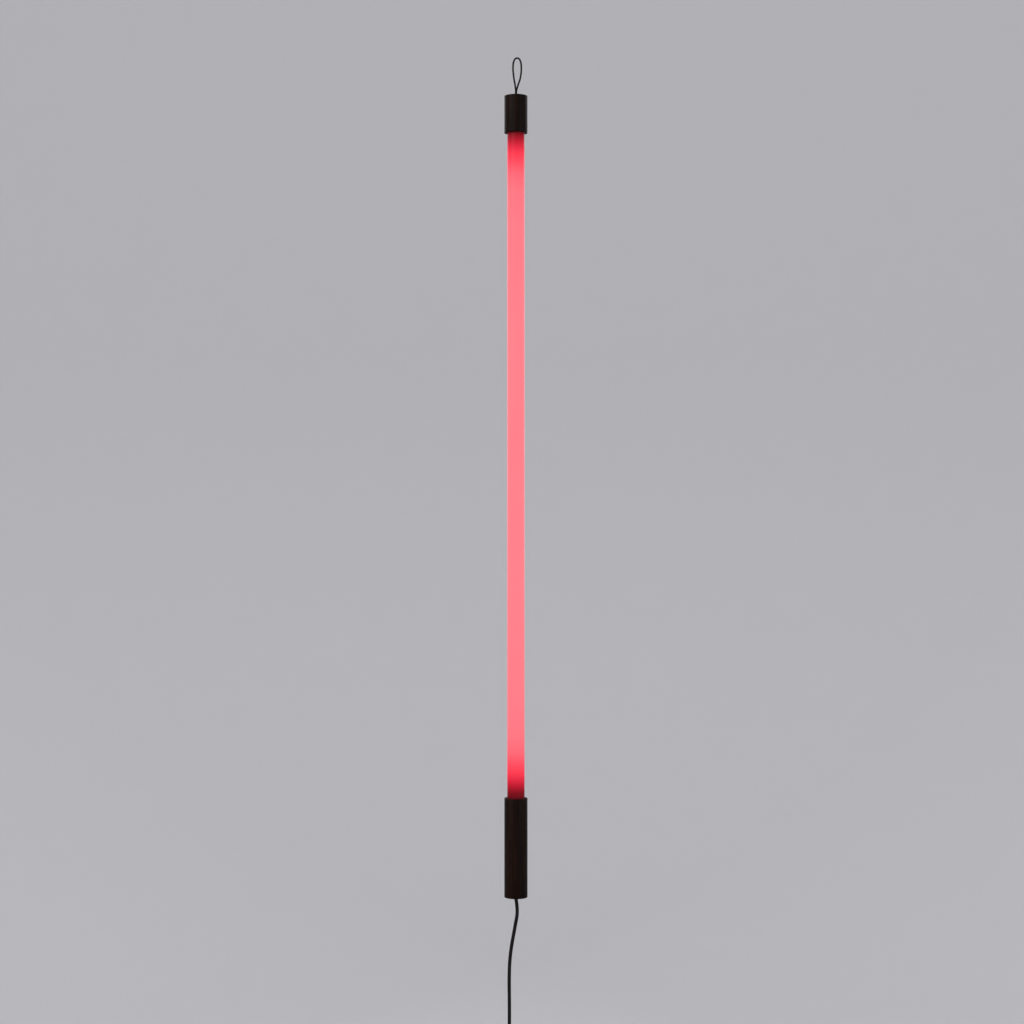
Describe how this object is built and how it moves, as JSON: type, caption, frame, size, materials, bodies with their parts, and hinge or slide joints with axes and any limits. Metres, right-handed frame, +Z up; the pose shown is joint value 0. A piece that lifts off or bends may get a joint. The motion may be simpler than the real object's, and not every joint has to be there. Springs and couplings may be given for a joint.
{
  "type": "led tube lamp",
  "caption": "Slim hanging LED tube lamp: a red translucent tube between two dark wooden ends, hung by a cord loop and fed by a mains lead with a rocker switch.",
  "frame": {"origin": "where the hook bears: the inside top of the hanging loop, over the lamp's own axis", "axes": "+Z up along the lamp's axis, the tube hanging towards -Z; the loop lies in the XZ plane; -Y is the front, where the switch's rocker faces"},
  "size_m": [0.066, 0.0632, 1.8796],
  "materials": {
    "dark_wood": "dark-stained hardwood turned on a lathe, satin oil",
    "red_tube": "red opal translucent tube, lit from inside",
    "loop_cord": "black waxed braided cord",
    "lead_jacket": "matt black flexible jacket",
    "black_plastic": "fine-textured moulded plastic",
    "white_plastic": "plain moulded plastic",
    "rubber_ring": "matt moulded ring",
    "tie_fabric": "woven hook-and-loop strap",
    "aluminium": "extruded, satin",
    "steel": "zinc-plated",
    "brass": "bright nickel-free brass",
    "circuit_board": "green solder mask",
    "phosphor": "silicone-covered phosphor, lit",
    "core_insulation": "thin insulated cores"
  },
  "bodies": {
    "loop": {"hanging_loop": "loop_cord"},
    "stem": {"loop_leg_left": "loop_cord", "loop_leg_right": "loop_cord", "loop_crimp": "steel", "loop_washer": "steel"},
    "lamp": {"loop_bush": "black_plastic", "top_cap": "dark_wood", "cap_grub_screw": "steel", "top_sleeve_ring": "rubber_ring", "top_end_plug": "white_plastic", "colour_sleeve": "red_tube", "led_carrier": "aluminium", "led_board": "white_plastic", "led_phosphor_strip": "phosphor", "bottom_end_plug": "white_plastic", "bottom_sleeve_ring": "rubber_ring", "handle": "dark_wood", "handle_grub_screw": "steel", "handle_base": "dark_wood", "base_screw_left": "steel", "base_screw_right": "steel", "cord_gland": "black_plastic", "cord_inner": "lead_jacket", "driver_tray": "black_plastic", "driver_board": "circuit_board", "driver_transformer": "white_plastic", "driver_capacitor": "black_plastic", "driver_inductor": "black_plastic", "driver_fuse": "white_plastic", "terminal_block": "white_plastic", "cord_clamp": "white_plastic", "clamp_screw_left": "steel", "clamp_screw_right": "steel", "mains_lead_live": "core_insulation", "mains_lead_neutral": "core_insulation", "led_lead_positive": "core_insulation", "led_lead_negative": "core_insulation", "cord_upper": "lead_jacket", "switch_base": "black_plastic", "switch_cover": "black_plastic", "switch_pin": "steel", "switch_contact_in": "brass", "switch_contact_out": "brass", "switch_screw_top": "steel", "switch_screw_bottom": "steel", "cord_lower": "lead_jacket", "cord_hank": "lead_jacket", "hank_tie": "tie_fabric", "cord_tail": "lead_jacket", "plug_body": "black_plastic", "plug_pin_left": "brass", "plug_pin_right": "brass"},
    "rocker": {"switch_rocker": "black_plastic"}
  },
  "joints": [
    {"name": "lamp_swing", "type": "hinge", "parent": "loop", "child": "stem", "pos_m": [0, 0, -0.0574], "axis": [1, 0, 0], "range_deg": [-75, 75]},
    {"name": "lamp_swivel", "type": "hinge", "parent": "stem", "child": "lamp", "pos_m": [0, 0, -0.0754], "axis": [0, 0, 1], "continuous": true},
    {"name": "rocker_tip", "type": "hinge", "parent": "lamp", "child": "rocker", "pos_m": [-0.011, -0.0055, -1.6594], "axis": [1, 0, 0], "range_deg": [0, 18]}
  ]
}
